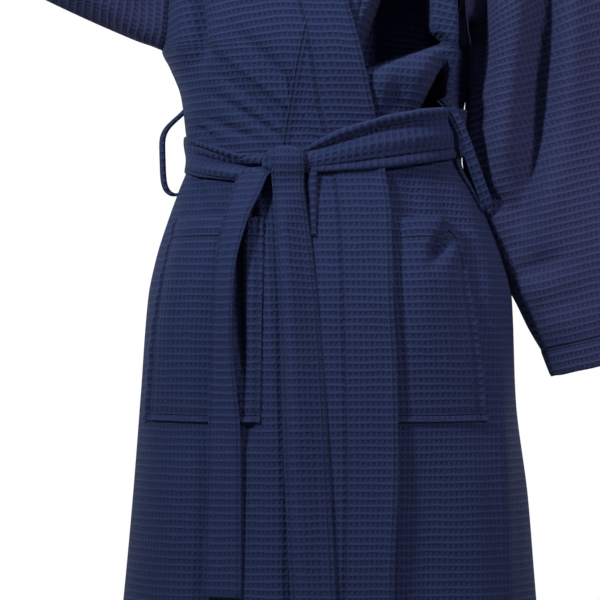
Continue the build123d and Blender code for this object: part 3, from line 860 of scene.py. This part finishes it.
def make_belt_waist():
    """The belt's turn round the waist: gathered into the knot, and fanned out beside it."""
    turn = np.linspace(0, 2 * np.pi, 241)[:-1][None, :]
    side = np.where(turn < np.pi, -1, 1)
    angle = np.where(side < 0, turn, 2 * np.pi - turn)
    table = np.array(BELT_EDGES, float)
    middle_x = form(-430.0, angle, 0.0, -1)[..., 0]
    bottom = np.interp(middle_x, table[:, 0], table[:, 1])
    top = np.interp(middle_x, table[:, 0], table[:, 2])
    share = np.linspace(0, 1, 25)[:, None]
    z = bottom + (top - bottom) * share
    lifted = (ease(angle, LAP_START, LAP_FULL)
              * ease(angle, math.radians(28), math.radians(58)))
    off = np.where(side < 0, BELT_IN_BACK + (BELT_IN_FRONT - BELT_IN_BACK) * lifted,
                   BELT_IN_BACK) + DOUBLE + 0 * z
    bare = form(z, angle, off, side)
    off = off - 3.6 * bell(angle, np.pi, 0.4)
    folds = np.where(side < 0, fold_height(bare[..., 0], bare[..., 2], BELT_FOLDS),
                     1.2 * np.sin(angle * 9 + z / 9))
    near_knot = bell(bare[..., 0], -52, 38) * (side < 0)
    swell = 6 * near_knot * np.sin(np.pi * share)
    edge = -1.4 * (np.abs(share - 0.5) * 2) ** 8
    points = form(z, angle, off + folds + swell + edge, side)
    across = share * BELT_WIDE + 0 * turn
    around = lengths_along(np.concatenate([bare, bare[:, :1]], 1), 1)
    weave = np.stack([np.concatenate([across, across[:, :1]], 1), around], -1)
    belt = cloth_mesh("belt_waist", points, weave, BELT_CLOTH, DOUBLE, closed=True)
    finish_piece(belt, "robe", ["belt_waist"])


def strip(name, right, left, rise, width, material, thickness):
    """A strip of cloth between two edge lines (rows of points), rise mm proud of the flat
    between them at each share of its width."""
    share = np.linspace(0, 1, rise.shape[1])[None, :, None]
    flat_points = right[:, None, :] * (1 - share) + left[:, None, :] * share
    points = flat_points - grid_normals(flat_points) * rise[..., None]
    run = lengths_along(flat_points, 0).mean(1, keepdims=True)
    weave = np.stack(np.broadcast_arrays(share[..., 0] * width, run), -1)
    return cloth_mesh(name, points, weave, material, thickness, flip=True)


CENTRE_TAIL = [(-1040, -46, 12), (-1002, -48, 10), (-820, -57, 1), (-651, -62, -10),
               (-540, -68, -22), (-465, -72, -32)]
RIGHT_TAIL = [(-990, -161, -112), (-800, -155, -111), (-651, -149, -121), (-586, -147, -119),
              (-508, -136, -101), (-480, -128, -88), (-455, -119, -78)]
RIGHT_TAIL_OFF = [(-990, 14), (-790, 14), (-700, 22), (-640, 27), (-545, 31), (-506, 29),
                  (-455, 18)]
KNOT_FRONT = float(front_y(-430.0, -52.0, BELT_IN_FRONT + DOUBLE))
CENTRE_TAIL_OFF = 20.0
KNOT_RIGHT, KNOT_LEFT = -73, -31
OVER_KNOT = [(3, -422), (-6, -416), (-14, -417), (-19, -424), (-21, -434), (-20, -445),
             (-15.5, -456)]
TAIL_SHARE = np.linspace(0, 1, 17)[None, :]
TAIL_EDGES = -1.2 * (np.abs(TAIL_SHARE - 0.5) * 2) ** 8


def make_centre_tail():
    """It starts behind the belt, goes over the knot and hangs down the skirt, turned so that
    most of its width faces the wearer's left."""
    low_z = np.linspace(-472, -1040, 96)
    edges = []
    for knot_x, edge_x in ((KNOT_RIGHT, curve(CENTRE_TAIL, 1)), (KNOT_LEFT, curve(CENTRE_TAIL, 2))):
        line = [(knot_x, KNOT_FRONT + behind, z) for behind, z in OVER_KNOT]
        line += [(edge_x(z), front_y(z, edge_x(z), CENTRE_TAIL_OFF) - DOUBLE, z) for z in low_z]
        edges.append(evenly(line, 132, 2))
    right, left = edges
    z, share = right[:, 2:3], TAIL_SHARE
    below = ease(z, -470, -520)
    crest = 0.28
    facet = np.where(share < crest, 9 * share / crest, 9 - 19.5 * (share - crest) / (1 - crest))
    facet = facet * (0.35 + 0.65 * ease(z, -1010, -760))
    round_over = 3.0 * np.sin(np.pi * share) * (1 - below)
    cup = -2.0 * bell(share, 0.78, 0.2) * below
    wander = 1.6 * np.sin(z / 58 + share * 3) * below
    rise = facet * (0.12 + 0.88 * below) + round_over + cup + wander + TAIL_EDGES
    tail = strip("belt_centre_tail", right, left, rise, BELT_WIDE, BELT_CLOTH, DOUBLE)
    finish_piece(tail, None, ["belt_centre_tail"])
    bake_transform(tail)


def make_right_tail():
    """It comes out from under the belt and hangs over the pocket, its left edge lifted."""
    z = np.linspace(-446, -990, 110)
    z_below = np.clip(z, -990, -455)
    tucked = z - z_below
    off = curve(RIGHT_TAIL_OFF)(z_below)
    edges = []
    for column, slant in ((1, 0.4), (2, 1.2)):
        x = curve(RIGHT_TAIL, column)(z_below)
        y = front_y(z_below, x, off) - DOUBLE
        edges.append(np.stack([x + slant * tucked, y + 0.5 * tucked, z], -1))
    right, left = edges
    z, share = z[:, None], TAIL_SHARE
    twist = bell(z, -575, 85)
    facet = 4.0 * bell(share, 0.34, 0.2) * (0.35 + 0.65 * twist)
    lift = bell(z, -600, 150)
    under = 9.0 * lift * ease(share, 0.2, 1.0)
    wander = 1.5 * np.sin(z / 63 + share * 2.2)
    rise = facet + under + wander + TAIL_EDGES
    tail = strip("belt_right_tail", right, left, rise, BELT_WIDE, BELT_CLOTH, DOUBLE)
    finish_piece(tail, None, ["belt_right_tail"])
    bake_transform(tail)


def make_knot():
    """The turn of belt that the front strip passes over, and the fold that shows below it."""
    across = np.linspace(0, 1, 37)[:, None]
    round_it = np.linspace(0, 2 * np.pi, 40, endpoint=False)[None, :]
    x = -85 + 55 * across
    fat = np.sin(np.pi * np.clip(across, 0.03, 0.97)) ** 0.5
    deep, tall = 10.5 * fat, 8 + 9 * fat
    gather = 1.2 * np.sin(round_it * 6 + across * 5) * fat
    y = KNOT_FRONT - 3 + (deep + gather) * np.sin(round_it)
    z = -436 + 5 * across + (tall + gather) * np.cos(round_it)
    points = np.stack(np.broadcast_arrays(x, y, z), -1)
    weave = np.stack(np.broadcast_arrays(
        np.linspace(0, BELT_WIDE, 41)[None, :], across * 62), -1)
    knot = cloth_mesh("belt_knot", points, weave, BELT_CLOTH, 0, closed=True)
    finish_piece(knot, "robe", ["belt_knot"])

    z = np.linspace(-442, -530, 24)
    lean = np.linspace(0, 1, 24)
    y = front_y(z, -19 + 0 * z, 16.0) + 4 * lean
    right = np.stack([-27 + 5 * lean, y, z], -1)
    left = np.stack([-14 - 1.5 * lean, y, z], -1)
    share = np.linspace(0, 1, 9)[None, :]
    rise = 3.0 * np.sin(np.pi * share) * (1 - 0.5 * lean[:, None])
    fold = strip("belt_knot_fold", right, left, rise, BELT_WIDE / 2, BELT_CLOTH, 3.0)
    finish_piece(fold, "robe", ["belt_knot"])


# -------- belt loops and hang loop

def ribbon(name, path, lay, width, thickness, material):
    """A flat strap along a path of points, lay giving the way its width points."""
    line = evenly(path, 56, 14)
    lay = np.array(lay, float) / np.linalg.norm(lay)
    right, left = line - lay * width / 2, line + lay * width / 2
    share = np.linspace(0, 1, 7)[None, :]
    rise = np.broadcast_to(-0.7 * (np.abs(share - 0.5) * 2) ** 6, (len(line), 7))
    made = strip(name, right, left, rise, width, material, thickness)
    made.modifiers["thickness"].offset = 0
    finish_piece(made, "robe", [name])


def make_loops():
    ribbon("right_belt_loop",
           [(-180, -80, -354), (-187, -80, -364), (-199, -80, -374), (-213, -80, -387),
            (-218, -79, -398), (-217.5, -78, -420), (-216.5, -78, -452), (-214, -79, -468),
            (-204, -80, -477), (-192, -80, -473)],
           (0.5, -0.86, 0), 11.0, 3.6, BAND_CLOTH)
    ribbon("left_belt_loop",
           [(146, -152, -352), (156, -154, -362), (169, -150, -385), (180, -144, -412),
            (189, -138, -438), (198, -131, -462), (207, -124, -486), (207, -118, -494)],
           (0.92, -0.1, 0.38), 14.0, 3.6, BAND_CLOTH)
    near, far = [float(form(4.5, angle_at(4.5, x, -1), -1, 1)[1]) for x in (32, 40)]
    ribbon("hang_loop",
           [(-40, far - 1.4, 4.5), (-32, near - 1.8, 4.5), (-20, 0, 4.5), (0, -0.8, 4.2),
            (20, 0, 4.5), (32, near - 1.8, 4.5), (40, far - 1.4, 4.5)],
           (0, 0, 1), 10.0, 2.0, TAPE)


def make_labels():
    for name, x_from, x_to, bottom, top, edge in (
            ("neck_label", -26, 26, -46, -14, (0.052, 0.032)),
            ("care_label", 150, 190, -668, -610, (0.04, 0.058))):
        points, rest = panel_grid(heights(bottom, top, 2), upright(x_from), upright(x_to), 1,
                                  over(on_form, -0.3), 24, [])
        label = cloth_mesh(name, points, weave_from(rest), LABEL_CLOTH, 0.8)
        finish_piece(label, "robe", [name])


# -------- sleeves

# centre x and z, half height, tilt of the section, half depth
RIGHT_SLEEVE = [(-268, -138, 116, 10, 72), (-360, -103, 106, 20, 68), (-500, -52, 102, 20, 66),
                (-718, 27, 97, 20, 62)]
RIGHT_CUFF_END = (-764, 44, 96, 20, 62)
LEFT_SLEEVE = [(258, -160, 108, -45, 73), (280, -262, 109, -70, 71),
               (286, -304, 112, -76, 70), (302, -405, 127, -76.6, 68),
               (321, -480, 124, -76.6, 68), (344, -557, 114, -76.6, 66),
               (366, -619, 107, -76.6, 65), (381, -654, 101, -76.6, 64)]
LEFT_CUFF_END = (392, -689, 98, -76.6, 64)
SLEEVE_AROUND = 96
SLEEVE_FOLDS = {
    "right_sleeve": [
        ([(-206, -258), (-262, -214), (-330, -180), (-400, -140)], 16, -9),
        ([(-204, -205), (-262, -150), (-330, -92), (-410, -50)], 18, -8),
        ([(-205, -130), (-270, -88), (-350, -50), (-440, -6)], 16, 6),
        ([(-230, -280), (-300, -222), (-360, -190)], 12, 5),
        ([(-470, -150), (-520, -60), (-560, 40)], 22, -5),
        ([(-600, -80), (-640, 0), (-660, 90)], 24, 4),
    ],
    "left_sleeve": [
        ([(290, -120), (288, -190), (282, -260), (276, -330), (270, -400), (258, -470),
          (246, -540)], 19, -40, 0.1),
        ([(252, -160), (248, -260), (240, -360), (230, -440)], 14, 16),
        ([(320, -150), (318, -260), (310, -380), (294, -470), (278, -520)], 16, 6),
        ([(192, -120), (192, -190), (190, -260), (186, -350), (190, -410)], 12, -22),
        ([(226, -120), (228, -200), (226, -300), (222, -400), (226, -460)], 16, 12),
        ([(206, -470), (222, -486), (240, -500)], 9, -9),
        ([(238, -576), (262, -572), (300, -556)], 10, -9),
        ([(244, -602), (280, -598), (330, -580)], 16, 5),
        ([(358, -250), (362, -380), (372, -500)], 26, -6),
        ([(270, -650), (330, -640), (400, -616)], 18, 4),
    ],
}


def section(place, turns, grow):
    """A sleeve's cross-section: an oval with flattened front and back."""
    x, z, height, tilt, depth = place
    up = (math.sin(math.radians(tilt)), math.cos(math.radians(tilt)))
    up = up if x < 0 else (-up[0], up[1])
    s, c = np.sin(turns), np.cos(turns)
    s, c = np.sign(s) * np.abs(s) ** 0.82, np.sign(c) * np.abs(c) ** 0.82
    return np.stack([x + up[0] * (height + grow) * s, AXIS_Y + (depth + grow) * c,
                     z + up[1] * (height + grow) * s], -1)


def armhole_rim(side, turns):
    """Points of the armhole's seam that face each turn of the sleeve."""
    z = np.linspace(ARMHOLE_BOTTOM + 1, ARMHOLE_TOP - 1, 60)
    seam = right_armhole(z) if side < 0 else left_armhole(z)
    angle = angle_at(z, seam, CLOTH)
    front = form(z, angle, CLOTH, -1)
    back = form(z, angle, CLOTH, 1)
    loop = np.concatenate([front, back[::-1]])
    middle, half = (ARMHOLE_TOP + ARMHOLE_BOTTOM) / 2, (ARMHOLE_TOP - ARMHOLE_BOTTOM) / 2
    faces = np.arctan2((loop[:, 2] - middle) / half, (loop[:, 1] - AXIS_Y) / 74)
    order = np.argsort(faces)
    faces, loop = faces[order], loop[order]
    faces = np.concatenate([faces - 2 * np.pi, faces, faces + 2 * np.pi])
    loop = np.concatenate([loop] * 3)
    wrapped = (turns + np.pi) % (2 * np.pi) - np.pi
    return np.stack([np.interp(wrapped, faces, loop[:, k]) for k in range(3)], -1)


def make_sleeve(name, side, places, cuff_end):
    """A sleeve from its armhole seam to its hem, and the doubled cuff that moves with the arm."""
    turns = np.linspace(0, 2 * np.pi, SLEEVE_AROUND, endpoint=False)
    sections = evenly(places, 70, 5, places=2)
    rings = np.array([section(p, turns, CLOTH) for p in sections])
    rim = armhole_rim(side, turns)
    eased = np.linspace(0, 1, 14)[:, None, None] ** 0.85
    joined = rim[None] * (1 - eased) + rings[0][None] * eased
    bare = soften(np.concatenate([joined[:-1], rings]), 4)
    normal = grid_normals(bare, closed=True)
    centre = bare.mean(1, keepdims=True)
    outward = np.sign(((bare - centre) * normal).sum(-1, keepdims=True))
    outward = np.where(np.median(outward) < 0, -1.0, 1.0)
    normal = normal * outward
    row_share = np.linspace(0, 1, len(bare))[:, None]
    fixed = ease(row_share, 0.0, 0.06) * (1 - 0.8 * ease(row_share, 0.93, 1.0))
    height = fold_height(bare[..., 0], bare[..., 2], SLEEVE_FOLDS[name])
    behind = np.where(bare[..., 1] > AXIS_Y, 0.55, 1.0)
    ripple = 1.3 * np.sin(turns[None, :] * 5 + row_share * 14)
    points = bare + normal * ((height * behind + ripple) * fixed)[..., None]
    sleeve = cloth_mesh(name, points, tube_weave(bare), SLEEVE_CLOTH, CLOTH, closed=True,
                        flip=outward < 0)
    finish_piece(sleeve, None, [name, f"{name}_head"])
    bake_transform(sleeve)

    ends = [np.array(places[-1], float), np.array(cuff_end, float)]
    share = np.linspace(0, 1, 13)
    rows = np.array([section(ends[0] * (1 - t) + ends[1] * t, turns, CLOTH + 1.0
                             - 0.9 * abs(t * 2 - 1) ** 8) for t in share])
    cuff_normal = grid_normals(rows, closed=True) * outward
    cuff_ripple = (1.3 * np.sin(turns[None, :] * 5 + 14) * 0.2
                   + 0.8 * np.sin(turns * 11)[None, :] * share[:, None])
    rows = rows + cuff_normal * cuff_ripple[..., None]
    cuff_name = name.replace("sleeve", "cuff")
    cuff = cloth_mesh(cuff_name, rows, tube_weave(rows), CUFF_CLOTH, DOUBLE, closed=True,
                      flip=outward < 0)
    finish_piece(cuff, name, [cuff_name])


make_pocket("right_pocket", -1, RIGHT_POCKET_INNER, RIGHT_POCKET_OUTER, lap)
make_pocket("left_pocket", 1, LEFT_POCKET_INNER, LEFT_POCKET_OUTER, on_form, LEFT_POCKET_FREE)
make_belt_waist()
make_knot()
make_centre_tail()
make_right_tail()
make_loops()
make_labels()
make_sleeve("right_sleeve", -1, RIGHT_SLEEVE, RIGHT_CUFF_END)
make_sleeve("left_sleeve", 1, LEFT_SLEEVE, LEFT_CUFF_END)
